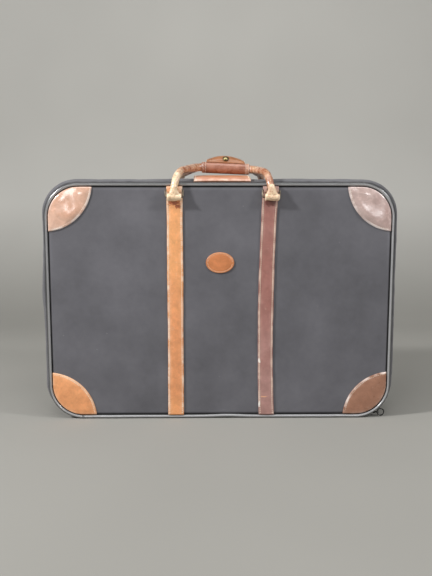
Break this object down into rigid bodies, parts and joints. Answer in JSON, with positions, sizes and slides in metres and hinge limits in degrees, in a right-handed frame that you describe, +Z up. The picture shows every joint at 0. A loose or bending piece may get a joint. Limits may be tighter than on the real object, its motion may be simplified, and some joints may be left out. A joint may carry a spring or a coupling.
{
  "type": "soft-sided suitcase",
  "caption": "Soft-sided rectangular zip suitcase in dark cloth with worn brown leather straps, corners, badge, top patch and rolled handles, standing on its long side.",
  "frame": {"origin": "centre of the bounding box's bottom, on the floor", "axes": "+X to the right as seen from the front, -Y out of the front panel, +Z up"},
  "size_m": [0.736, 0.2308, 0.5373],
  "materials": {
    "band_cloth": "woven cloth, matt",
    "panel_cloth": "woven cloth over a stiff filling, matt",
    "piping": "covered cord, slight sheen",
    "lining_cloth": "thin lining cloth",
    "board": "stiff board",
    "hoop_steel": "spring wire",
    "zip_teeth": "moulded teeth on woven tape",
    "dark_metal": "dark metal, satin",
    "loop_metal": "wire, dulled",
    "brass": "satin",
    "leather_orange": "worn, orange tan",
    "leather_brown": "worn, red brown",
    "leather_pale": "worn dry, cream to tan",
    "leather_tan": "worn, tan"
  },
  "bodies": {
    "case": {"case_band": "band_cloth", "base_board": "board", "case_base": "band_cloth", "case_lining": "lining_cloth", "hinge_fold": "band_cloth", "mouth_hoop": "hoop_steel", "rear_board": "board", "rear_corner_bottom_left": "leather_brown", "rear_corner_bottom_right": "leather_brown", "rear_corner_top_left": "leather_brown", "rear_corner_top_right": "leather_brown", "rear_hoop": "hoop_steel", "rear_loop_left": "loop_metal", "rear_loop_right": "loop_metal", "rear_panel": "panel_cloth", "rear_piping": "piping", "rear_strap_left": "leather_brown", "rear_strap_right": "leather_brown", "top_patch": "leather_brown", "zip_case_half": "zip_teeth"},
    "lid": {"front_panel": "panel_cloth", "front_board": "board", "front_lining": "lining_cloth", "front_piping": "piping", "zip_lid_half": "zip_teeth", "badge": "leather_brown", "front_corner_bottom_left": "leather_orange", "front_corner_bottom_right": "leather_brown", "front_corner_top_left": "leather_brown", "front_corner_top_right": "leather_brown", "front_loop_left": "loop_metal", "front_loop_right": "loop_metal", "front_strap_left": "leather_orange", "front_strap_right": "leather_brown"},
    "front_handle": {"front_handle": "leather_pale", "front_grip": "leather_tan", "snap_stud": "brass"},
    "rear_handle": {"rear_handle": "leather_pale", "rear_grip": "leather_tan", "grip_tongue": "leather_tan", "snap_cap": "brass"},
    "zip_slider": {"zip_slider": "dark_metal"},
    "zip_tab": {"zip_tab": "dark_metal"},
    "zip_ring": {"zip_ring": "dark_metal"}
  },
  "joints": [
    {"name": "lid_open", "type": "hinge", "parent": "case", "child": "lid", "pos_m": [0, -0.0965, 0.0035], "axis": [1, 0, 0], "range_deg": [0, 88], "deforming": ["hinge_fold", "grip_tongue", "snap_cap"]},
    {"name": "front_handle_swing", "type": "hinge", "parent": "lid", "child": "front_handle", "pos_m": [0, -0.1081, 0.452], "axis": [1, 0, 0], "range_deg": [0, 165], "deforming": ["grip_tongue", "snap_cap"]},
    {"name": "rear_handle_swing", "type": "hinge", "parent": "case", "child": "rear_handle", "pos_m": [0, 0.1081, 0.452], "axis": [-1, 0, 0], "range_deg": [0, 165], "deforming": ["grip_tongue", "snap_cap"]},
    {"name": "zip_travel", "type": "hinge", "parent": "case", "child": "zip_slider", "pos_m": [0.28, -0.088, 0.07], "axis": [0, -1, 0], "range_deg": [0, 50]},
    {"name": "zip_tab_swing", "type": "hinge", "parent": "zip_slider", "child": "zip_tab", "pos_m": [0.31987, -0.088, 0.00861], "axis": [0, -1, 0], "range_deg": [-114, 3]},
    {"name": "zip_ring_swing", "type": "hinge", "parent": "zip_tab", "child": "zip_ring", "pos_m": [0.32737, -0.088, 0.00861], "axis": [0, 0, 1], "range_deg": [-30, 30]}
  ]
}
